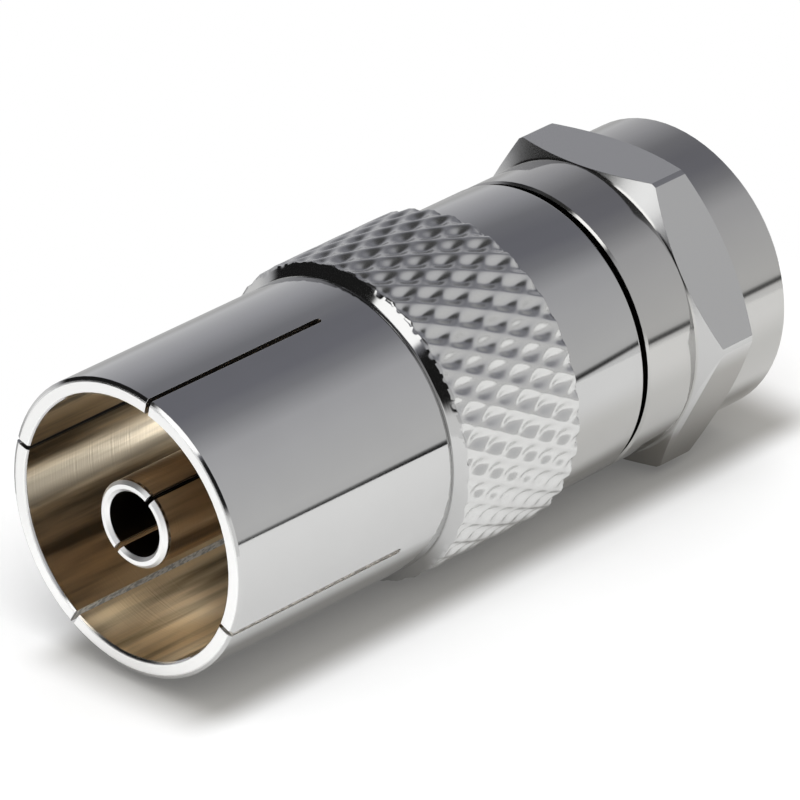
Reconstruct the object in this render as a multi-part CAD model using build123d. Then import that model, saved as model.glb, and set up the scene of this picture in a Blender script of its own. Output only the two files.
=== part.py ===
from build123d import *
from math import cos, pi, radians, sin, tan
import os

# Coaxial adapter: a slotted aerial socket at one end, an F plug with a captive nut at the other.
# Frame: millimetres, +X along the common axis from the socket's mouth to the plug, +Z up.
# The origin is on the axis in the plane of the mouth.

# Body, turned from brass bar
barrel_d = 11.06
barrel_length = 3.54
barrel_edge_round = 0.12
knurl_rise = 0.4            # grip above the barrel
knurl_length = 6.15
knurl_count = 38            # ridges of each hand round the grip
knurl_angle = 30.0          # ridge to axis
knurl_depth = 0.18
knurl_crest = 0.14          # width left on top of a ridge
knurl_turn = 2.0
bevel_angle = 60.0          # bevels of the grip, the mouth and the nut, to the axis

# Outer sleeve of the socket
shell_step = 0.06           # sleeve below the barrel
shell_wall = 0.62
shell_length = 10.45        # mouth to the body
shell_floor = 1.2           # floor of the socket to the body
shell_end_round = 0.16
slot_turns = (13.0, 114.0, 210.0, 286.5)    # degrees from the top, sawn by eye and not quite even
slot_length = 8.3
slot_width_root = 0.24
slot_width_mouth = 0.18     # the petals are squeezed in, so a slot closes towards the mouth
mouth_bevel_rise = 0.17
mouth_inner_chamfer = 0.08

# Joint between the sleeve and the body
groove_depth = 0.05         # the body's front face starts this far below the sleeve
seat_wall = 0.9             # body wall round the sleeve's spigot
spigot_length = 2.6
spigot_wall = 1.1

# Centre contact of the socket
contact_bore_d = 2.4
contact_wall = 0.4
contact_recess = 0.35       # tip behind the mouth
contact_bore_depth = 8.2
contact_slit_width = 0.2
contact_slit_length = 6.6
contact_turn = 33.0
contact_tip_chamfer = 0.12
drill_angle = 118.0
shoulder_rise = 0.6
shoulder_length = 0.6
shank_wall = 0.4
shank_length = 2.4

# Centre pin of the plug
pin_d = 1.0
pin_stem_rise = 0.35        # stem in the shank and the insulator, thicker than the pin
pin_seat = 2.8              # length held in the shank
pin_reach = 1.0             # tip beyond the nut
pin_tip_chamfer = 0.25

# Socket insulator
head_length = 1.05

# Nut and its thread, 3/8-32 UNEF, left plain at the root diameter
thread_major_d = 9.525
thread_height = 0.43
nut_wall = 0.75             # band outside the thread root
flat_rise = 0.045           # flats above the band
corner_clip = 0.06          # taken off the sharp corners by the turning
nut_turn = -2.2             # the nut lies turned a little on the body
band_length = 2.43
hex_edge_length = 1.55      # corner edge between the two shoulders
collar_length = 2.48
nut_floor = 1.6             # inner flange that the ferrule holds
nut_front_chamfer = 0.08
nut_end_chamfer = 0.3
thread_mouth_chamfer = 0.35
nut_gap = 0.29              # body to nut
running_gap = 0.05          # nut to ferrule, on the radius
end_float = 0.1             # nut to the ferrule's flange

# Ferrule
flange_gap = 0.18           # flange inside the thread's crests
flange_rise = 0.55
flange_length = 1.2
flange_edge_chamfer = 0.15
ferrule_wall = 0.9
ferrule_press = 3.6         # length pressed into the body

match = 1e-6                # how near an edge lies to the place where it is looked for

# Radii worked out from the sizes above
barrel_r = barrel_d / 2
knurl_r = barrel_r + knurl_rise
shell_r = barrel_r - shell_step
socket_r = shell_r - shell_wall
land_r = shell_r - groove_depth
spigot_r = land_r - seat_wall
stem_r = spigot_r - spigot_wall
bore_r = contact_bore_d / 2
contact_r = bore_r + contact_wall
shoulder_r = contact_r + shoulder_rise
pin_r = pin_d / 2
pin_stem_r = pin_r + pin_stem_rise
shank_r = pin_stem_r + shank_wall
thread_r = thread_major_d / 2
band_r = thread_r + nut_wall
flat_r = band_r + flat_rise
corner_r = flat_r / cos(pi / 6) - corner_clip
flange_r = thread_r - thread_height - flange_gap
ferrule_r = flange_r - flange_rise
ferrule_bore_r = ferrule_r - ferrule_wall
nut_bore_r = ferrule_r + running_gap

# Knurl: rows of pits, each row turned half a pitch from the last
ridge_pitch = 2 * pi * knurl_r / knurl_count
row_step = ridge_pitch / 2 / tan(radians(knurl_angle))
pit_share = 1 - knurl_crest / (ridge_pitch * cos(radians(knurl_angle)))
knurl_rows = int(knurl_length / row_step) + 1
knurl_first_x = shell_length + (knurl_length - (knurl_rows - 1) * row_step) / 2

# Stations along the axis
body_x = shell_length
floor_x = body_x - shell_floor
knurl_end_x = body_x + knurl_length
body_end_x = knurl_end_x + barrel_length
spigot_end_x = body_x + spigot_length
shoulder_end_x = spigot_end_x + shoulder_length
shank_end_x = shoulder_end_x + shank_length
nut_x = body_end_x + nut_gap
front_shoulder_x = nut_x + band_length
shoulder_run = (corner_r - band_r) / tan(radians(bevel_angle))
front_corner_x = front_shoulder_x + shoulder_run
rear_corner_x = front_corner_x + hex_edge_length
rear_shoulder_x = rear_corner_x + shoulder_run
nut_end_x = rear_shoulder_x + collar_length
nut_floor_x = nut_x + nut_floor
flange_x = nut_floor_x + end_float
flange_end_x = flange_x + flange_length
ferrule_x = body_end_x - ferrule_press
pin_x = shank_end_x - pin_seat
pin_end_x = nut_end_x + pin_reach


def turned(*outline):
    """Solid of revolution about the axis, from its (x, radius) corners."""
    return revolve(make_face(Polyline(*outline, close=True)), Axis.X, 360)


def rod(start, end, radius):
    """Plain round length of the axis."""
    return turned((start, 0), (start, radius), (end, radius), (end, 0))


def edge_at(solid, x, radius):
    """The round edge of a solid that lies at a station and a radius."""
    return [
        edge for edge in solid.edges().filter_by(GeomType.CIRCLE)
        if abs(edge.arc_center.X - x) < match and abs(edge.radius - radius) < match
    ]


def on_cylinder(x, radius, angle):
    """Point at a station, a radius and an angle in degrees from the top."""
    return Vector(x, radius * sin(radians(angle)), radius * cos(radians(angle)))


def pit_at(row, column):
    """Front, right, rear and left corners of one pit of the knurl, and its lowest point."""
    pitch = 360 / knurl_count
    x = knurl_first_x + row * row_step
    angle = knurl_turn + (column + row % 2 / 2) * pitch
    along = pit_share * row_step
    around = pit_share * pitch / 2
    corners = (
        on_cylinder(x - along, knurl_r, angle),
        on_cylinder(x, knurl_r, angle + around),
        on_cylinder(x + along, knurl_r, angle),
        on_cylinder(x, knurl_r, angle - around),
    )
    return corners, on_cylinder(x, knurl_r - knurl_depth, angle)


def quad(a, b, c, d):
    """Two triangles over four corners that are not quite flat."""
    return [(a, b, c), (a, c, d)]


def knurl_net(pits):
    """Triangles of every pit, of the ridges between pits and of the places where ridges cross."""
    triangles = []
    for row in range(knurl_rows):
        # A row is turned half a pitch from the next, so the columns that touch depend on it.
        shift = row % 2
        for column in range(knurl_count):
            (front, right, rear, left), low = pits[row][column]
            triangles += [(front, right, low), (right, rear, low)]
            triangles += [(rear, left, low), (left, front, low)]
            beside_left = pits[row][(column + 1) % knurl_count][0][3]
            if row + 1 < knurl_rows:
                behind_right = pits[row + 1][(column + shift) % knurl_count][0]
                behind_left = pits[row + 1][(column + shift - 1) % knurl_count][0]
                triangles += quad(right, behind_right[0], behind_right[3], rear)
                triangles += quad(rear, behind_left[1], behind_left[0], left)
                triangles.append((right, beside_left, behind_right[0]))
            if row > 0:
                ahead_rear = pits[row - 1][(column + shift) % knurl_count][0][2]
                triangles.append((beside_left, right, ahead_rear))
    return triangles


def knurl_skirt(pits, tip, end_x):
    """Triangles from the free side of an end row to a flat end, and the face of that end."""
    loop = []
    for corners, low in pits:
        loop += [corners[3], corners[tip], corners[1]]
    flat = [Vector(end_x, point.Y, point.Z) for point in loop]
    triangles = []
    for index in range(len(loop)):
        after = (index + 1) % len(loop)
        triangles += quad(loop[index], loop[after], flat[after], flat[index])
    return triangles, Face(Wire.make_polygon(flat, close=True))


def knurled_bar():
    """Round bar whose surface is a net of crossed ridges round four-sided pits."""
    pits = [[pit_at(row, column) for column in range(knurl_count)] for row in range(knurl_rows)]
    triangles = knurl_net(pits)
    knurl_last_x = knurl_first_x + (knurl_rows - 1) * row_step
    front_sides, front_end = knurl_skirt(pits[0], 0, knurl_first_x - 2 * row_step)
    rear_sides, rear_end = knurl_skirt(pits[-1], 2, knurl_last_x + 2 * row_step)
    sides = [
        Face(Wire.make_polygon(corners, close=True))
        for corners in triangles + front_sides + rear_sides
    ]
    return Solid(Shell(sides + [front_end, rear_end]))


def knurled_body():
    """Grip and barrel in one, bored for the sleeve's spigot, the insulator and the ferrule."""
    # The chamfers run on past the crests, so that they cut the net clean.
    over_r = knurl_r + knurl_rise
    slope = tan(radians(bevel_angle))
    grip_outline = turned(
        (body_x, 0),
        (body_x, land_r),
        (body_x + (over_r - land_r) / slope, over_r),
        (knurl_end_x - (over_r - barrel_r) / slope, over_r),
        (knurl_end_x, barrel_r),
        (knurl_end_x, 0),
    )
    barrel = rod(knurl_end_x, body_end_x, barrel_r)
    barrel = fillet(edge_at(barrel, body_end_x, barrel_r), barrel_edge_round)
    bores = rod(body_x, spigot_end_x, spigot_r) + rod(spigot_end_x, body_end_x, ferrule_r)
    return (knurled_bar() & grip_outline) + barrel - bores


def socket_shell():
    """Slotted sleeve with a floor, and a spigot behind it for the body."""
    blank = turned(
        (0, socket_r),
        (0, shell_r - mouth_bevel_rise),
        (mouth_bevel_rise / tan(radians(bevel_angle)), shell_r),
        (body_x, shell_r),
        (body_x, spigot_r),
        (spigot_end_x, spigot_r),
        (spigot_end_x, stem_r),
        (floor_x, stem_r),
        (floor_x, socket_r),
    )
    blank = fillet(edge_at(blank, body_x, shell_r), shell_end_round)
    blank = chamfer(edge_at(blank, 0, socket_r), mouth_inner_chamfer)
    for turn in slot_turns:
        blank -= Rot(turn, 0, 0) * petal_slot()
    return blank


def petal_slot():
    """Wedge with a round end that cuts one slot through the top of the sleeve."""
    mouth, root = slot_width_mouth / 2, slot_width_root / 2
    round_x = slot_length - root
    outline = make_face(Polyline(
        (-slot_width_root, -mouth),
        (round_x, -root),
        (round_x, root),
        (-slot_width_root, mouth),
        close=True,
    ))
    outline += Pos(round_x, 0) * Circle(root)
    return extrude(outline, 2 * shell_r)


def socket_contact():
    """Tube split in two at its tip, a shoulder, and a shank bored for the pin."""
    drill_run = bore_r / tan(radians(drill_angle / 2))
    bore_end_x = contact_recess + contact_bore_depth
    blank = turned(
        (contact_recess, bore_r),
        (contact_recess, contact_r),
        (spigot_end_x, contact_r),
        (spigot_end_x, shoulder_r),
        (shoulder_end_x, shoulder_r),
        (shoulder_end_x, shank_r),
        (shank_end_x, shank_r),
        (shank_end_x, pin_stem_r),
        (pin_x, pin_stem_r),
        (pin_x, 0),
        (bore_end_x + drill_run, 0),
        (bore_end_x, bore_r),
    )
    tip_edges = edge_at(blank, contact_recess, contact_r) + edge_at(blank, contact_recess, bore_r)
    blank = chamfer(tip_edges, contact_tip_chamfer)
    # One saw cut from the mouth's plane splits both walls.
    slit = Box(
        contact_recess + contact_slit_length,
        contact_slit_width,
        3 * contact_r,
        align=(Align.MIN, Align.CENTER, Align.CENTER),
    )
    return blank - Rot(contact_turn, 0, 0) * slit


def plug_pin():
    """Pin with a bevelled tip, on a stem that ends flush with the insulator."""
    pin = rod(pin_x, flange_end_x, pin_stem_r) + rod(flange_end_x, pin_end_x, pin_r)
    return chamfer(edge_at(pin, pin_end_x, pin_r), pin_tip_chamfer)


def socket_insulator():
    """Bush with a head, from the socket's floor to the contact's shoulder."""
    return turned(
        (floor_x - head_length, contact_r),
        (floor_x - head_length, socket_r),
        (floor_x, socket_r),
        (floor_x, stem_r),
        (spigot_end_x, stem_r),
        (spigot_end_x, contact_r),
    )


def plug_insulator():
    """Stepped bush from the contact's shoulder to the ferrule's face."""
    return turned(
        (shoulder_end_x, shank_r),
        (shoulder_end_x, ferrule_r),
        (ferrule_x, ferrule_r),
        (ferrule_x, ferrule_bore_r),
        (flange_end_x, ferrule_bore_r),
        (flange_end_x, pin_stem_r),
        (shank_end_x, pin_stem_r),
        (shank_end_x, shank_r),
    )


def retaining_ferrule():
    """Tube that the nut turns on, with a flange that holds the nut and meets the jack."""
    blank = turned(
        (ferrule_x, ferrule_bore_r),
        (ferrule_x, ferrule_r),
        (flange_x, ferrule_r),
        (flange_x, flange_r),
        (flange_end_x, flange_r),
        (flange_end_x, ferrule_bore_r),
    )
    return chamfer(edge_at(blank, flange_end_x, flange_r), flange_edge_chamfer)


def coupling_nut():
    """Hexagon between turned shoulders, a band before it, a collar behind it, bored through."""
    outline = turned(
        (nut_x, nut_bore_r),
        (nut_x, band_r),
        (front_shoulder_x, band_r),
        (front_corner_x, corner_r),
        (rear_corner_x, corner_r),
        (rear_shoulder_x, band_r),
        (nut_end_x, band_r),
        (nut_end_x, thread_r),
        (nut_floor_x, thread_r),
        (nut_floor_x, nut_bore_r),
    )
    outline = chamfer(edge_at(outline, nut_x, band_r), nut_front_chamfer)
    outline = chamfer(edge_at(outline, nut_end_x, band_r), nut_end_chamfer)
    outline = chamfer(edge_at(outline, nut_end_x, thread_r), thread_mouth_chamfer)
    hexagon = Plane.YZ.offset(nut_x) * RegularPolygon(flat_r, 6, major_radius=False)
    return outline & Rot(nut_turn, 0, 0) * extrude(hexagon, nut_end_x - nut_x)


pieces = {
    "socket_shell": socket_shell,
    "knurled_body": knurled_body,
    "coupling_nut": coupling_nut,
    "retaining_ferrule": retaining_ferrule,
    "socket_contact": socket_contact,
    "plug_pin": plug_pin,
    "socket_insulator": socket_insulator,
    "plug_insulator": plug_insulator,
}

os.makedirs("parts", exist_ok=True)
for name, build in pieces.items():
    export_step(build(), f"parts/{name}.step")
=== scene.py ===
import bpy
import math
import numpy as np
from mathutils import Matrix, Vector


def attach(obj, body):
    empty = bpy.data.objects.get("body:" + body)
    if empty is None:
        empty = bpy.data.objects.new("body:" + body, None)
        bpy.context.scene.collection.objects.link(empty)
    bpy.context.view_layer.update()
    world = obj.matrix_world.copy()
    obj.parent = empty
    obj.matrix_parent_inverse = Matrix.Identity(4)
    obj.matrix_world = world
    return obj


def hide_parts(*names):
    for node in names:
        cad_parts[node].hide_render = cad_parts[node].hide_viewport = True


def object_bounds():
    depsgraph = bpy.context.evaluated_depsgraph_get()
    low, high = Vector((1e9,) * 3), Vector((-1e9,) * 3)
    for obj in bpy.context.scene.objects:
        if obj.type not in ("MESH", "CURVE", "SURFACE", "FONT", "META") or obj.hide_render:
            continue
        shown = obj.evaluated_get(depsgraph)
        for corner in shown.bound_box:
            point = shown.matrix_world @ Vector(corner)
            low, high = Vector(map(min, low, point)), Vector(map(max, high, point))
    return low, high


# Coaxial adapter lying on a pale floor. The frame's +X runs from the socket's mouth to the plug,
# and the viewer stands on the side of -X and -Y.
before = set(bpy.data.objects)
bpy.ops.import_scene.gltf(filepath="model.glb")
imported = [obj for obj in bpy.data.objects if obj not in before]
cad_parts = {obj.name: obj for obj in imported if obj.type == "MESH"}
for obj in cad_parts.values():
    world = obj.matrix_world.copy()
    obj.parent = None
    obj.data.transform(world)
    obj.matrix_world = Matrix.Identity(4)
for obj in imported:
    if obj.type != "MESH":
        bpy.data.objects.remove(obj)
cad_low, cad_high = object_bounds()

# Units, in metres
MM = 0.001
MICRON = 1e-6

# Camera, at the photograph's angle
CAMERA_AZIMUTH = -46.48         # degrees
CAMERA_ELEVATION = 27.64        # degrees
CAMERA_DISTANCE = 300.4 * MM
CAMERA_TARGET = Vector((13.57, 0.03, -0.23)) * MM
CAMERA_LENS = 387.3             # millimetres, for the sensor below
SENSOR_WIDTH = 36.0             # millimetres
CLIP_START = 5 * MM
CLIP_END = 5.0                  # metres

# Body with the knurled grip
BARREL_R = 5.53 * MM
BARREL_END_X = 20.14 * MM
BARREL_EDGE_ROUND = 0.12 * MM
LAND_R = 5.42 * MM              # front face, where the grip's bevel starts
SPIGOT_R = 4.52 * MM            # the sleeve's spigot, which the front bore holds
SPIGOT_END_X = 13.05 * MM
FERRULE_R = 3.6025 * MM         # the ferrule's tube, which the rear bore holds
BEVEL_SLOPE = math.tan(math.radians(60))
KNURL_R = 5.928 * MM            # just inside the solid, whose mesh is cut a little short
KNURL_START_X = 10.45 * MM
KNURL_END_X = 16.6 * MM
KNURL_LENGTH = KNURL_END_X - KNURL_START_X
KNURL_COUNT = 38                # ridges of each hand round the grip
KNURL_ANGLE = math.radians(30)  # ridge to axis
KNURL_DEPTH = 0.2 * MM
KNURL_TURN = 2.0                # degrees
KNURL_FRONT_PLAIN = 0.12 * MM   # the front bevel is cut after the knurl and stays plain
KNURL_FRONT_FADE = 0.35 * MM
KNURL_COLUMNS = 17              # mesh columns for each pit round the grip
KNURL_ROWS = 16                 # mesh rows for each row of pits
RIDGE_ROUNDNESS = 1.5           # over 1 the ridges are broad and the pits narrow
CROSS_RIDGE_HEIGHT = 0.72       # the other hand's ridges, as a share of the pits' depth
RIDGE_PITCH = 2 * math.pi * KNURL_R / KNURL_COUNT
ROW_STEP = RIDGE_PITCH / 2 / math.tan(KNURL_ANGLE)

# Thread inside the nut, 3/8-32
THREAD_ROOT_R = 4.7625 * MM
THREAD_CREST_R = 4.33 * MM
THREAD_PITCH = 25.4 / 32 * MM
THREAD_START_X = 22.03 * MM
THREAD_END_X = 27.5 * MM
THREAD_END_CLEAR = 0.4          # left free at each end of the thread, as a share of the pitch
THREAD_ROOT_HALF = 0.44         # half of the ridge's width at its foot, as a share of the pitch
THREAD_CREST_HALF = 0.10        # half of its width at the crest
THREAD_BURY = 0.03 * MM         # depth of the ridge's foot in the nut's wall
THREAD_TURN_STEPS = 90          # mesh steps for each turn
THREAD_FADE_STEPS = 30          # steps over which the ridge rises and sinks at its ends

# Floor, whose middle lies nearer to the viewer than the object
FLOOR_R = 34 * MM
FLOOR_MIDDLE_Y = -18 * MM
FLOOR_SIDES = 96
SHADED_BEFORE = 0.5 * MM        # the floor's shaded patch reaches past both ends of the object
SHADED_BEHIND = 1.8 * MM
SHADED_SOFT_X = 1.5 * MM
SHADED_Y = (-4.3 * MM, 3.5 * MM)
SHADED_SOFT_Y = 0.9 * MM

# Lamps
SOFT_LAMP_PLACE = Vector((-80, -120, 260)) * MM
SOFT_LAMP_SIZE = 300 * MM
SOFT_LAMP_POWER = 0.5           # watts
BORE_LAMP_PLACE = Vector((-60, -30, 25)) * MM
BORE_LAMP_AIM = Vector((5, 4.8, -0.5)) * MM
BORE_LAMP_RADIUS = 2 * MM
BORE_LAMP_POWER = 0.8           # watts
BORE_LAMP_ANGLE = 4.8           # degrees


# Nodes, colours and objects

def node(tree, kind, inputs=None, **settings):
    """A shader node with its settings, and its inputs either linked or set."""
    made = tree.nodes.new(kind)
    for name, value in settings.items():
        setattr(made, name, value)
    for name, value in (inputs or {}).items():
        if isinstance(value, bpy.types.NodeSocket):
            tree.links.new(value, made.inputs[name])
        else:
            made.inputs[name].default_value = value
    return made


def math_of(tree, operation, *values):
    """Result of a Math node."""
    return node(tree, "ShaderNodeMath", dict(enumerate(values)), operation=operation).outputs[0]


def smooth_step(tree, value, start, end):
    """0 before start, 1 after end, and a soft change between."""
    sockets = {"Value": value, "From Min": start, "From Max": end}
    made = node(tree, "ShaderNodeMapRange", sockets, interpolation_type="SMOOTHSTEP")
    return made.outputs["Result"]


def between(tree, value, limits, soft):
    """1 between two limits and 0 outside them. A limit of None is open."""
    low, high = limits
    inside = None
    if low is not None:
        inside = smooth_step(tree, value, low - soft, low + soft)
    if high is not None:
        under = smooth_step(tree, value, high + soft, high - soft)
        inside = under if inside is None else math_of(tree, "MULTIPLY", inside, under)
    return inside


def blend_of(tree, share, first, second):
    """Mix of two colours."""
    made = node(tree, "ShaderNodeMix", {"Factor": share}, data_type="RGBA")
    for socket, value in ((made.inputs[6], first), (made.inputs[7], second)):
        if isinstance(value, bpy.types.NodeSocket):
            tree.links.new(value, socket)
        else:
            socket.default_value = value
    return made.outputs[2]


def number_blend_of(tree, share, first, second):
    """Mix of two numbers."""
    return node(tree, "ShaderNodeMix", {"Factor": share, "A": first, "B": second}).outputs[0]


def ramp_of(tree, share, stops):
    """Colour ramp through (place, colour) stops."""
    made = node(tree, "ShaderNodeValToRGB", {"Fac": share})
    ramp = made.color_ramp
    ramp.elements[0].position, ramp.elements[0].color = stops[0]
    ramp.elements[1].position, ramp.elements[1].color = stops[-1]
    for place, colour in stops[1:-1]:
        ramp.elements.new(place).color = colour
    return made.outputs["Color"]


def noise_of(tree, place, noise, **settings):
    """Noise of a scale and a detail, about 0.5 in the mean."""
    scale, detail = noise
    socket = "W" if settings.get("noise_dimensions") == "1D" else "Vector"
    sockets = {socket: place, "Scale": scale, "Detail": detail}
    return node(tree, "ShaderNodeTexNoise", sockets, **settings).outputs["Fac"]


def grey(level):
    """Neutral colour of a brightness."""
    return (level, level, level, 1.0)


def shade_of(colour, share):
    """A colour brought down to a share of its brightness."""
    return tuple(share * part for part in colour[:3]) + (1.0,)


def add_object(name, data):
    """A new object in the scene."""
    made = bpy.data.objects.new(name, data)
    bpy.context.scene.collection.objects.link(made)
    return made


# World

# Colour of the studio round the object's axis, in degrees from the zenith towards the viewer
STUDIO_ROUND = (
    (-180, grey(0.95)),
    (-150, grey(0.90)),
    (-130, grey(0.52)),
    (-104, grey(0.50)),
    (-94, (0.655, 0.657, 0.675, 1.0)),
    (-62, (0.456, 0.458, 0.49, 1.0)),
    (-38, (0.260, 0.262, 0.287, 1.0)),
    (-20, (0.218, 0.220, 0.25, 1.0)),
    (-2, (0.226, 0.228, 0.26, 1.0)),
    (12, (0.304, 0.306, 0.332, 1.0)),
    (32, (0.566, 0.568, 0.592, 1.0)),
    (52, (0.637, 0.639, 0.655, 1.0)),
    (90, grey(0.72)),
    (98.0, grey(0.70)),
    (98.6, grey(0.02)),
    (101.4, grey(0.02)),
    (102.0, grey(0.90)),
    (118, grey(0.98)),
    (180, grey(0.95)),
)

# Dark flags, each with a direction, an inner and an outer angle and a level: one overhead for
# the pits of the knurl, and two that the bevel before the grip reflects above and below its glint
FLAGS = (
    (Vector((-0.25, 0.05, 0.97)).normalized(), 30, 48, 0.04),
    (Vector((-0.66, 0.70, 0.25)).normalized(), 25, 31, 0.015),
    (Vector((-0.98, -0.15, 0.07)).normalized(), 10, 14, 0.015),
)

# Two lamps that bevels and edges reflect, each with a direction, an inner and an outer angle
BEVEL_LAMP = (Vector((-0.925, 0.188, 0.33)).normalized(), 10, 12)
EDGE_LAMP = (Vector((-0.69, -0.03, 0.72)).normalized(), 9, 15)
LAMP_LEVEL = 1.8

# Lit floor before the mouth: how it sets in with a direction's X and Z, and its level
AHEAD_X = (0.1, -0.1)
BELOW_Z = (-0.02, -0.12)
LIT_FLOOR_LEVEL = 0.97

EVEN_LEVEL = 0.78               # white light that comes evenly from all round


def patch(tree, direction, centre, inner, outer):
    """1 inside a cone about a direction and 0 outside it, between two angles in degrees."""
    sockets = {0: direction, 1: centre}
    made = node(tree, "ShaderNodeVectorMath", sockets, operation="DOT_PRODUCT")
    start = math.cos(math.radians(outer))
    end = math.cos(math.radians(inner))
    return smooth_step(tree, made.outputs["Value"], start, end)


def studio_of(tree):
    """The grey and white studio that reflections show."""
    direction = node(tree, "ShaderNodeTexCoord").outputs["Generated"]
    parts = node(tree, "ShaderNodeSeparateXYZ", {"Vector": direction}).outputs
    towards_viewer = math_of(tree, "MULTIPLY", parts["Y"], -1.0)
    angle = math_of(tree, "ARCTAN2", towards_viewer, parts["Z"])
    turn = math_of(tree, "MULTIPLY_ADD", angle, 0.5 / math.pi, 0.5)
    stops = [(degrees / 360 + 0.5, colour) for degrees, colour in STUDIO_ROUND]
    studio = ramp_of(tree, turn, stops)

    for towards, inner, outer, level in FLAGS:
        flag = patch(tree, direction, towards, inner, outer)
        studio = blend_of(tree, flag, studio, grey(level))
    bevel_lamp = patch(tree, direction, *BEVEL_LAMP)
    edge_lamp = patch(tree, direction, *EDGE_LAMP)
    lamps = math_of(tree, "MAXIMUM", bevel_lamp, edge_lamp)
    ahead = smooth_step(tree, parts["X"], *AHEAD_X)
    below = math_of(tree, "MULTIPLY", smooth_step(tree, parts["Z"], *BELOW_Z), ahead)
    studio = blend_of(tree, below, studio, grey(LIT_FLOOR_LEVEL))
    return blend_of(tree, lamps, studio, grey(LAMP_LEVEL))


def make_world():
    """White where the camera looks, an even white light, and the studio in reflections."""
    world = bpy.data.worlds.new("studio")
    bpy.context.scene.world = world
    world.use_nodes = True
    tree = world.node_tree
    tree.nodes.clear()
    studio = studio_of(tree)
    path = node(tree, "ShaderNodeLightPath").outputs
    glossy = node(tree, "ShaderNodeBackground", {"Color": studio}).outputs[0]
    even = node(tree, "ShaderNodeBackground", {"Color": grey(EVEN_LEVEL)}).outputs[0]
    white = node(tree, "ShaderNodeBackground", {"Color": grey(1.0)}).outputs[0]
    sockets = {0: path["Is Glossy Ray"], 1: even, 2: glossy}
    lighting = node(tree, "ShaderNodeMixShader", sockets).outputs[0]
    seen = math_of(tree, "MAXIMUM", path["Is Camera Ray"], path["Is Transmission Ray"])
    surface = node(tree, "ShaderNodeMixShader", {0: seen, 1: lighting, 2: white}).outputs[0]
    node(tree, "ShaderNodeOutputWorld", {"Surface": surface})


# Materials

SLEEVE_NICKEL = (0.575, 0.575, 0.57, 1.0)
NICKEL = (0.54, 0.54, 0.535, 1.0)
NUT_NICKEL = (0.535, 0.53, 0.515, 1.0)
KNURL_NICKEL = (0.64, 0.64, 0.63, 1.0)
# painted shade on the lower side of the barrel and the nut's bands
NICKEL_PAINTED_SHADE = (0.44, 0.435, 0.42, 1.0)
FLAT_NICKEL = (0.54, 0.54, 0.535, 1.0)
# painted shade on the nut's lower flats
FLAT_PAINTED_SHADE = (0.30, 0.29, 0.27, 1.0)
# painted highlight on the sleeve's rim and the contact's tip
NICKEL_PAINTED_HIGHLIGHT = (0.94, 0.94, 0.93, 1.0)
TAN_WASH = (0.78, 0.63, 0.43, 1.0)
# the next two are painted highlights on walls of the bore
TAN_PAINTED_GLOW = (0.92, 0.73, 0.46, 1.0)
TAN_PAINTED_HIGHLIGHT = (0.97, 0.86, 0.67, 1.0)
ORANGE_WASH = (0.74, 0.52, 0.30, 1.0)
# painted shade on the upper slots' walls, and painted light with a grain of burrs on the lower
# ones
SLOT_PAINTED_SHADE = (0.10, 0.09, 0.08, 1.0)
SLOT_PAINTED_LIGHT = (0.97, 0.94, 0.88, 1.0)
# painted shade inside the contact's bore
BORE_PAINTED_SHADE = (0.12, 0.09, 0.06, 1.0)
PLASTIC = (0.86, 0.86, 0.83, 1.0)
FLOOR_PAINT = grey(0.9)
FLOOR_SHADED = (0.33, 0.32, 0.30, 1.0)
FLOOR_GLOW = 0.1                # what the floor adds where it is seen, straight or reflected

# Patterns of the turned metal. A noise has a scale, about its cells in a metre, and a detail.
CLOUD_NOISE = (420.0, 3.0)
CLOUD_SHADE = 0.94              # brightness of the darkest clouds in the plating
CLOUD_ROUGHNESS = 0.05          # roughness of the roughest cloud over that of the smoothest
FEED_MARK_NOISE = (9000.0, 2.0)
FEED_MARK_DEPTH = 0.3e-6
GROOVE_NOISE = (10000.0, 1.0)
STREAK_NOISE = (1100.0, 4.0)
STREAK_STRETCH = (0.07, 1.0, 1.0)
STREAK_RANGE = (0.34, 0.62)     # noise under the first is a dark streak, and over the second plain
GRAIN_NOISE = (5000.0, 1.0)
GRAIN_RANGE = (0.4, 0.6)
EDGE_ROUND = 0.02 * MM
EDGE_SAMPLES = 6
ZONE_SOFT = 0.02 * MM           # half the width over which a zone fades, where it states none

# Patterns of the plastic
PLASTIC_CLOUD_NOISE = (500.0, 3.0)
PLASTIC_CLOUD_SHADE = 0.93
PLASTIC_GRAIN_NOISE = (6000.0, 2.0)
PLASTIC_GRAIN_DEPTH = 2e-6
PLASTIC_ROUGHNESS = 0.4
PLASTIC_ROUGHNESS_CHANGE = 0.1

# Places of other finish or of painted light and shade, by their limits of x, r and z
SLEEVE_BORE = {"x": (0.1 * MM, None), "r": (None, 4.9 * MM)}
SLEEVE_BORE_FRONT = {"x": (0.1 * MM, 3.4 * MM), "soft_x": 1.5 * MM, "r": (None, 4.9 * MM)}
SLEEVE_SLOTS = {"x": (0.15 * MM, 8.5 * MM), "r": (4.9 * MM, 5.42 * MM)}
SLEEVE_RIM = {"x": (None, 0.03 * MM), "r": (4.8 * MM, None)}
BARREL = {"x": (16.6 * MM, None), "r": (5.3 * MM, None)}
GRIP = {"x": (10.76 * MM, 16.36 * MM), "r": (5.6 * MM, 6.0 * MM)}
NUT_BORE = {"r": (None, 4.9 * MM)}
NUT_BANDS = {"r": (5.2 * MM, 5.56 * MM)}
NUT_FLATS = {"x": (22.9 * MM, 25.35 * MM), "r": (5.535 * MM, None)}
NUT_FLAT_FRONTS = {"x": (22.9 * MM, 23.35 * MM), "r": (5.535 * MM, None)}
NUT_FLAT_REARS = {"x": (23.35 * MM, 25.35 * MM), "r": (5.535 * MM, None)}
CONTACT_SIDES = {"x": (0.6 * MM, 9 * MM), "r": (1.4 * MM, None)}
CONTACT_BORE = {"x": (0.55 * MM, 9 * MM), "r": (None, 1.3 * MM)}
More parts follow.
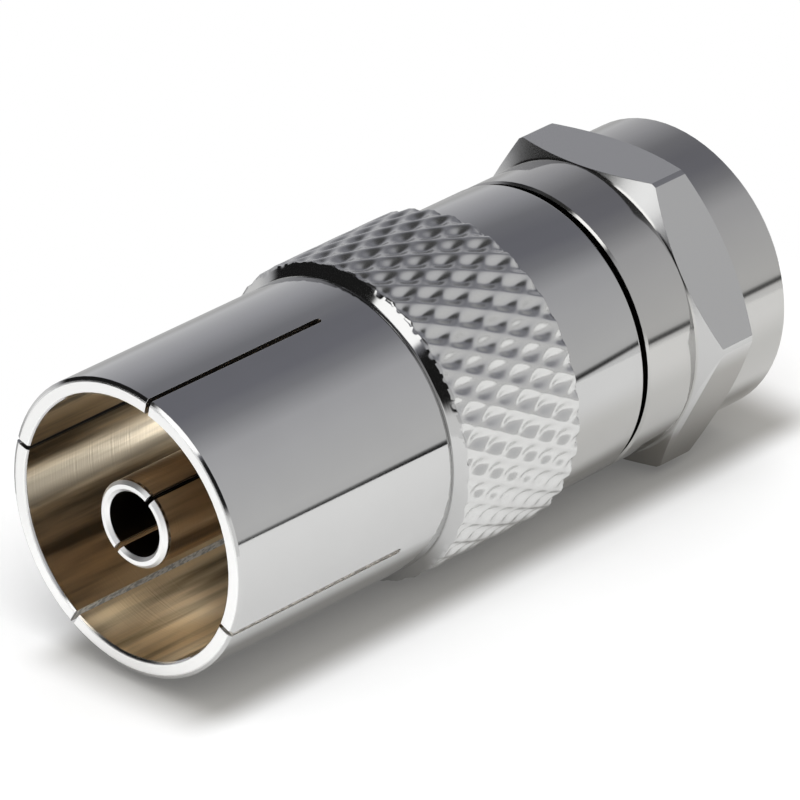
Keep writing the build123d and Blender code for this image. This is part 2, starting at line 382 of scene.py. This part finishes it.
CONTACT_TIP = {"x": (None, 0.5 * MM)}
# painted shade: the lower side, by its limit of z
PAINTED_SHADE_BELOW = {"z": (None, -0.25 * MM), "soft_z": 0.65 * MM}


def new_material(name):
    """An empty node material and its tree."""
    material = bpy.data.materials.new(name)
    material.use_nodes = True
    material.node_tree.nodes.clear()
    return material, material.node_tree


def share_of_zone(tree, zone, measures):
    """1 inside the limits of a zone and 0 outside them."""
    share = 1.0
    for key in ("x", "r", "z"):
        if key in zone:
            soft = zone.get("soft_" + key, ZONE_SOFT)
            inside = between(tree, measures[key], zone[key], soft)
            share = math_of(tree, "MULTIPLY", inside, share)
    return share


def turned_metal(name, colour, roughness, zones):
    """Plated metal off the lathe: feed marks, clouds, softened edges, and zones of other finish or
    of painted light and shade.

    A zone has limits of x, r and z, half the width over which each fades, a colour, a roughness,
    a metallic share, the depth of its grooves, and the shares of its brightness that streaks
    along the axis and grains take away.
    """
    material, tree = new_material(name)
    place = node(tree, "ShaderNodeTexCoord").outputs["Object"]
    parts = node(tree, "ShaderNodeSeparateXYZ", {"Vector": place}).outputs
    across = node(tree, "ShaderNodeCombineXYZ", {"Y": parts["Y"], "Z": parts["Z"]}).outputs[0]
    from_axis = node(tree, "ShaderNodeVectorMath", {0: across}, operation="LENGTH")
    radius = from_axis.outputs["Value"]
    measures = {"x": parts["X"], "r": radius, "z": parts["Z"]}
    along = math_of(tree, "ADD", parts["X"], radius)

    clouds = noise_of(tree, place, CLOUD_NOISE)
    base = blend_of(tree, clouds, shade_of(colour, CLOUD_SHADE), colour)
    smoothest = roughness - CLOUD_ROUGHNESS / 2
    finish = math_of(tree, "MULTIPLY_ADD", clouds, CLOUD_ROUGHNESS, smoothest)
    marks = noise_of(tree, along, FEED_MARK_NOISE, noise_dimensions="1D")
    height = math_of(tree, "MULTIPLY", marks, FEED_MARK_DEPTH)
    sockets = {0: place, 1: STREAK_STRETCH}
    stretched = node(tree, "ShaderNodeVectorMath", sockets, operation="MULTIPLY").outputs[0]
    streaks = smooth_step(tree, noise_of(tree, stretched, STREAK_NOISE), *STREAK_RANGE)
    grains = smooth_step(tree, noise_of(tree, place, GRAIN_NOISE), *GRAIN_RANGE)
    grooves = noise_of(tree, along, GROOVE_NOISE, noise_dimensions="1D")
    metallic = 1.0

    for zone in zones:
        share = share_of_zone(tree, zone, measures)
        paint = zone["colour"]
        for pattern, key in ((streaks, "streaks"), (grains, "grains")):
            if key in zone:
                dark = shade_of(zone["colour"], 1.0 - zone[key])
                paint = blend_of(tree, pattern, dark, paint)
        base = blend_of(tree, share, base, paint)
        finish = number_blend_of(tree, share, finish, zone["roughness"])
        if "metallic" in zone:
            metallic = number_blend_of(tree, share, metallic, zone["metallic"])
        cut = math_of(tree, "MULTIPLY", grooves, zone.get("grooves", 0.0))
        height = math_of(tree, "MULTIPLY_ADD", cut, share, height)

    rounded = node(tree, "ShaderNodeBevel", {"Radius": EDGE_ROUND}, samples=EDGE_SAMPLES)
    normal = rounded.outputs["Normal"]
    sockets = {"Height": height, "Strength": 1.0, "Distance": 1.0, "Normal": normal}
    bump = node(tree, "ShaderNodeBump", sockets).outputs["Normal"]
    sockets = {"Base Color": base, "Metallic": metallic, "Roughness": finish, "Normal": bump}
    shader = node(tree, "ShaderNodeBsdfPrincipled", sockets)
    node(tree, "ShaderNodeOutputMaterial", {"Surface": shader.outputs[0]})
    return material


def make_sleeve_metal():
    """Sleeve of the socket: tarnished and streaked bore with painted highlights on two walls,
    slots with painted shade above and painted light below, and a painted highlight on the rim.
    """
    # painted highlights: on the far wall, which the bore lamp also lights, and on the lowest wall
    # near the mouth
    far_wall_highlight = dict(SLEEVE_BORE, z=(-0.8 * MM, 0.3 * MM), soft_z=0.5 * MM)
    lowest_wall_highlight = dict(SLEEVE_BORE_FRONT, z=(-4.66 * MM, -4.3 * MM), soft_z=0.15 * MM)
    painted_shade_slots = dict(SLEEVE_SLOTS, z=(0, None))
    painted_light_slots = dict(SLEEVE_SLOTS, z=(None, 0))
    return turned_metal("nickel_sleeve", SLEEVE_NICKEL, roughness=0.055, zones=(
        dict(SLEEVE_BORE, colour=TAN_WASH, roughness=0.3, metallic=0.97,
             streaks=0.8, grooves=4 * MICRON),
        dict(far_wall_highlight, colour=TAN_PAINTED_HIGHLIGHT, roughness=0.4, metallic=0.1,
             streaks=0.65, grooves=10 * MICRON),
        dict(lowest_wall_highlight, colour=TAN_PAINTED_GLOW, roughness=0.35, metallic=0.25,
             streaks=0.5, grooves=8 * MICRON),
        # painted shade on the upper slots' walls, painted light on the lower ones
        dict(painted_shade_slots, colour=SLOT_PAINTED_SHADE, roughness=0.5),
        dict(painted_light_slots, colour=SLOT_PAINTED_LIGHT, roughness=0.4, metallic=0.1, grains=0.45),
        # painted highlight on the rim
        dict(SLEEVE_RIM, colour=NICKEL_PAINTED_HIGHLIGHT, roughness=0.35),
    ))


def make_body_metal():
    """Body and ferrule: a barrel with painted shade on its lower side, and a rougher grip."""
    painted_shade_barrel = dict(BARREL, **PAINTED_SHADE_BELOW)
    return turned_metal("nickel_body", NICKEL, roughness=0.07, zones=(
        # painted shade on the barrel's lower side
        dict(painted_shade_barrel, colour=NICKEL_PAINTED_SHADE, roughness=0.1),
        dict(GRIP, colour=KNURL_NICKEL, roughness=0.27),
    ))


def make_nut_metal():
    """Nut: tarnished bore, duller flats, and painted shade on the lower side of the bands and the
    flats.
    """
    painted_shade_bands = dict(NUT_BANDS, **PAINTED_SHADE_BELOW)
    painted_shade_rears = dict(NUT_FLAT_REARS, z=(None, -0.3 * MM), soft_z=0.8 * MM)
    painted_shade_fronts = dict(NUT_FLAT_FRONTS, z=(None, -3.6 * MM), soft_z=0.4 * MM)
    return turned_metal("nickel_nut", NUT_NICKEL, roughness=0.09, zones=(
        dict(NUT_BORE, colour=TAN_WASH, roughness=0.3, streaks=0.4),
        # painted shade on the bands' lower side
        dict(painted_shade_bands, colour=NICKEL_PAINTED_SHADE, roughness=0.1),
        dict(NUT_FLATS, colour=FLAT_NICKEL, roughness=0.24),
        # painted shade on the lower flats
        dict(painted_shade_rears, colour=FLAT_PAINTED_SHADE, roughness=0.24),
        dict(painted_shade_fronts, colour=FLAT_PAINTED_SHADE, roughness=0.24),
    ))


def make_contact_metal():
    """Contact and pin: orange sides, a bore with painted shade, and a tip with a painted
    highlight.
    """
    return turned_metal("contact_plating", NICKEL, roughness=0.15, zones=(
        dict(CONTACT_SIDES, colour=ORANGE_WASH, roughness=0.35, metallic=0.9,
             streaks=0.6, grooves=8 * MICRON),
        # painted shade inside the bore
        dict(CONTACT_BORE, colour=BORE_PAINTED_SHADE, roughness=0.3),
        # painted highlight on the tip
        dict(CONTACT_TIP, colour=NICKEL_PAINTED_HIGHLIGHT, roughness=0.4),
    ))


def make_plastic():
    """Plain moulded plastic with a faint grain."""
    material, tree = new_material("white_plastic")
    place = node(tree, "ShaderNodeTexCoord").outputs["Object"]
    grain = noise_of(tree, place, PLASTIC_GRAIN_NOISE)
    clouds = noise_of(tree, place, PLASTIC_CLOUD_NOISE)
    base = blend_of(tree, clouds, shade_of(PLASTIC, PLASTIC_CLOUD_SHADE), PLASTIC)
    finish = math_of(tree, "MULTIPLY_ADD", grain, PLASTIC_ROUGHNESS_CHANGE, PLASTIC_ROUGHNESS)
    sockets = {"Height": grain, "Strength": 1.0, "Distance": PLASTIC_GRAIN_DEPTH}
    bump = node(tree, "ShaderNodeBump", sockets).outputs["Normal"]
    sockets = {"Base Color": base, "Roughness": finish, "Normal": bump}
    shader = node(tree, "ShaderNodeBsdfPrincipled", sockets)
    node(tree, "ShaderNodeOutputMaterial", {"Surface": shader.outputs[0]})
    return material


def make_floor_white():
    """White paint with a shaded patch under the object, which can't be seen from below."""
    material, tree = new_material("floor_white")
    path = node(tree, "ShaderNodeLightPath").outputs
    seen = math_of(tree, "MAXIMUM", path["Is Camera Ray"], path["Is Glossy Ray"])
    seen = math_of(tree, "MAXIMUM", seen, path["Is Transmission Ray"])
    place = node(tree, "ShaderNodeTexCoord").outputs["Object"]
    parts = node(tree, "ShaderNodeSeparateXYZ", {"Vector": place}).outputs
    ends = (-SHADED_BEFORE, cad_high.x + SHADED_BEHIND)
    under_x = between(tree, parts["X"], ends, SHADED_SOFT_X)
    under_y = between(tree, parts["Y"], SHADED_Y, SHADED_SOFT_Y)
    under_object = math_of(tree, "MULTIPLY", under_x, under_y)
    colour = blend_of(tree, under_object, FLOOR_PAINT, FLOOR_SHADED)
    paint = node(tree, "ShaderNodeBsdfDiffuse", {"Color": colour}).outputs[0]
    strength = math_of(tree, "MULTIPLY", seen, FLOOR_GLOW)
    glow = node(tree, "ShaderNodeEmission", {"Strength": strength}).outputs[0]
    both = node(tree, "ShaderNodeAddShader", {0: paint, 1: glow}).outputs[0]
    clear = node(tree, "ShaderNodeBsdfTransparent").outputs[0]
    from_below = node(tree, "ShaderNodeNewGeometry").outputs["Backfacing"]
    mixed = node(tree, "ShaderNodeMixShader", {0: from_below, 1: both, 2: clear})
    node(tree, "ShaderNodeOutputMaterial", {"Surface": mixed.outputs[0]})
    return material


# Meshes

SHARP_ANGLE = 35.0              # degrees, from which an edge stays sharp


def on_axis(x, radius, degrees):
    """Point at a station, a radius and an angle from the top towards the viewer."""
    angle = math.radians(degrees)
    return (x, -radius * math.sin(angle), radius * math.cos(angle))


def ring_faces(rings, size, closed):
    """Faces between rings of points. Where closed, they also join the last ring to the first."""
    faces = []
    for ring in range(rings if closed else rings - 1):
        here = ring * size
        ahead = (ring + 1) % rings * size
        for index in range(size):
            beside = (index + 1) % size
            faces.append((here + index, here + beside, ahead + beside, ahead + index))
    return faces


def new_piece(name, points, faces, material, body):
    """A mesh piece that rides on a body."""
    mesh = bpy.data.meshes.new(name)
    mesh.from_pydata(points, [], faces)
    mesh.validate()
    mesh.shade_smooth()
    mesh.set_sharp_from_angle(angle=math.radians(SHARP_ANGLE))
    mesh.materials.append(material)
    piece = add_object(name, mesh)
    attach(piece, body)
    return piece


def rounded_corner(x, radius, size, steps=5):
    """Profile points of a quarter round about a centre, from the outside to the end."""
    points = []
    for step in range(steps + 1):
        angle = math.pi / 2 * step / steps
        points.append((x + size * math.sin(angle), radius + size * math.cos(angle)))
    return points


def knurl_profile():
    """Stations of the grip with the greatest radius at each, which the bevels leave."""
    count = int(KNURL_LENGTH / ROW_STEP * KNURL_ROWS)
    stations = []
    for index in range(count + 1):
        x = KNURL_START_X + KNURL_LENGTH * index / count
        front = LAND_R + (x - KNURL_START_X) * BEVEL_SLOPE
        rear = BARREL_R + (KNURL_END_X - x) * BEVEL_SLOPE
        stations.append((x, min(front, rear)))
    return stations


def groove_of(turn):
    """1 in the middle of a groove, at whole numbers, and 0 on the rounded ridges between."""
    from_middle = np.abs(turn - np.round(turn)) * 2
    return np.clip(np.cos(math.pi / 2 * from_middle), 0.0, 1.0) ** RIDGE_ROUNDNESS


def knurl_radius(x, degrees):
    """Radius of the net of rounded ridges at stations and angles, before the bevels cut it."""
    rows = int(KNURL_LENGTH / ROW_STEP) + 1
    first_x = KNURL_START_X + (KNURL_LENGTH - (rows - 1) * ROW_STEP) / 2
    row = (x - first_x) / ROW_STEP
    column = -(degrees + KNURL_TURN) * KNURL_COUNT / 360
    groove = groove_of(column + row / 2)
    cross = groove_of(column - row / 2)
    from_front = np.clip((x - KNURL_START_X - KNURL_FRONT_PLAIN) / KNURL_FRONT_FADE, 0.0, 1.0)
    hollow = groove * (1 - CROSS_RIDGE_HEIGHT * (1 - cross)) * from_front
    return KNURL_R - KNURL_DEPTH * hollow


def make_body(material):
    """Grip and barrel as one fine mesh."""
    before = [(SPIGOT_END_X, FERRULE_R), (SPIGOT_END_X, SPIGOT_R), (KNURL_START_X, SPIGOT_R)]
    knurl = knurl_profile()
    rear_edge = rounded_corner(
        BARREL_END_X - BARREL_EDGE_ROUND, BARREL_R - BARREL_EDGE_ROUND, BARREL_EDGE_ROUND,
    )
    profile = before + knurl + rear_edge + [(BARREL_END_X, FERRULE_R)]
    count = KNURL_COUNT * KNURL_COLUMNS
    degrees = np.arange(count) * 360.0 / count
    index = np.arange(len(profile))
    knurled = (index >= len(before)) & (index < len(before) + len(knurl))
    x, r = np.array(profile).T
    grid_x = np.repeat(x[:, None], count, 1)
    grid_r = np.repeat(r[:, None], count, 1)
    net = knurl_radius(grid_x, degrees[None, :])
    grid_r = np.where(knurled[:, None], np.minimum(grid_r, net), grid_r)
    angle = np.radians(degrees)[None, :]
    grid = np.stack([grid_x, -grid_r * np.sin(angle), grid_r * np.cos(angle)], 2)
    points = grid.reshape(-1, 3).tolist()
    faces = ring_faces(len(profile), count, closed=True)
    piece = new_piece("knurled_grip", points, faces, material, "adapter_body")
    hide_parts("knurled_body")


def make_thread(material):
    """Helical ridge of the nut's thread, which rises from the wall and sinks into it again."""
    start_x = THREAD_START_X + THREAD_END_CLEAR * THREAD_PITCH
    length = THREAD_END_X - THREAD_START_X - 2 * THREAD_END_CLEAR * THREAD_PITCH
    steps = int(length / THREAD_PITCH * THREAD_TURN_STEPS)
    buried_r = THREAD_ROOT_R + THREAD_BURY
    points = []
    for step in range(steps + 1):
        degrees = 360.0 * step / THREAD_TURN_STEPS
        x = start_x + THREAD_PITCH * step / THREAD_TURN_STEPS
        fade = min(1.0, step / THREAD_FADE_STEPS, (steps - step) / THREAD_FADE_STEPS)
        crest_r = THREAD_ROOT_R - (THREAD_ROOT_R - THREAD_CREST_R) * fade
        section = (
            (-THREAD_ROOT_HALF, buried_r),
            (-THREAD_ROOT_HALF, THREAD_ROOT_R),
            (-THREAD_CREST_HALF, crest_r),
            (THREAD_CREST_HALF, crest_r),
            (THREAD_ROOT_HALF, THREAD_ROOT_R),
            (THREAD_ROOT_HALF, buried_r),
        )
        points += [on_axis(x + share * THREAD_PITCH, r, -degrees) for share, r in section]
    size = len(section)
    faces = ring_faces(steps + 1, size, closed=False)
    faces.append(tuple(range(size)))
    faces.append(tuple(reversed(range(steps * size, steps * size + size))))
    new_piece("nut_thread", points, faces, material, "nut")


# Floor, camera and lamps

def make_floor():
    """Round white floor under the object."""
    material = make_floor_white()
    mesh = bpy.data.meshes.new("floor")
    middle_x = (cad_low.x + cad_high.x) / 2
    points = []
    for side in range(FLOOR_SIDES):
        angle = 2 * math.pi * side / FLOOR_SIDES
        x = middle_x + FLOOR_R * math.cos(angle)
        y = FLOOR_MIDDLE_Y + FLOOR_R * math.sin(angle)
        points.append((x, y, cad_low.z))
    mesh.from_pydata(points, [], [tuple(range(FLOOR_SIDES))])
    mesh.materials.append(material)
    floor = add_object("floor", mesh)


def make_camera():
    """Camera at the photograph's angle."""
    data = bpy.data.cameras.new("camera")
    data.sensor_width = SENSOR_WIDTH
    data.lens = CAMERA_LENS
    data.clip_start = CLIP_START
    data.clip_end = CLIP_END
    azimuth = math.radians(CAMERA_AZIMUTH)
    elevation = math.radians(CAMERA_ELEVATION)
    back = Vector((
        math.sin(azimuth) * math.cos(elevation),
        -math.cos(azimuth) * math.cos(elevation),
        math.sin(elevation),
    ))
    camera = add_object("camera", data)
    camera.location = CAMERA_TARGET + back * CAMERA_DISTANCE
    camera.rotation_euler = (-back).to_track_quat("-Z", "Y").to_euler()
    bpy.context.scene.camera = camera


def place_lamp(name, data, place, aim):
    """Lamp at a place, turned towards another, which reflections don't show."""
    lamp = add_object(name, data)
    lamp.location = place
    lamp.rotation_euler = (aim - place).to_track_quat("-Z", "Y").to_euler()
    lamp.visible_glossy = False


def make_soft_lamp():
    """Large soft lamp above, for a gentle shadow."""
    data = bpy.data.lights.new("soft_lamp", "AREA")
    data.shape = "DISK"
    data.size = SOFT_LAMP_SIZE
    data.energy = SOFT_LAMP_POWER
    place_lamp("soft_lamp", data, SOFT_LAMP_PLACE, Vector((0, 0, 0)))


def make_bore_lamp():
    """Narrow lamp into the mouth, for the warm glint on the far wall of the bore."""
    data = bpy.data.lights.new("bore_lamp", "SPOT")
    data.energy = BORE_LAMP_POWER
    data.shadow_soft_size = BORE_LAMP_RADIUS
    data.spot_size = math.radians(BORE_LAMP_ANGLE)
    data.spot_blend = 1.0
    place_lamp("bore_lamp", data, BORE_LAMP_PLACE, BORE_LAMP_AIM)


# The scene

make_world()
make_floor()
make_camera()
make_soft_lamp()
make_bore_lamp()

sleeve_metal = make_sleeve_metal()
body_metal = make_body_metal()
nut_metal = make_nut_metal()
contact_metal = make_contact_metal()
plastic = make_plastic()

dress = {
    "socket_shell": sleeve_metal,
    "coupling_nut": nut_metal,
    "retaining_ferrule": body_metal,
    "socket_contact": contact_metal,
    "plug_pin": contact_metal,
    "socket_insulator": plastic,
    "plug_insulator": plastic,
}
for name, material in dress.items():
    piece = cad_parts[name]
    piece.data.materials.clear()
    piece.data.materials.append(material)

make_body(body_metal)
make_thread(nut_metal)

bpy.context.scene.view_settings.view_transform = "Standard"
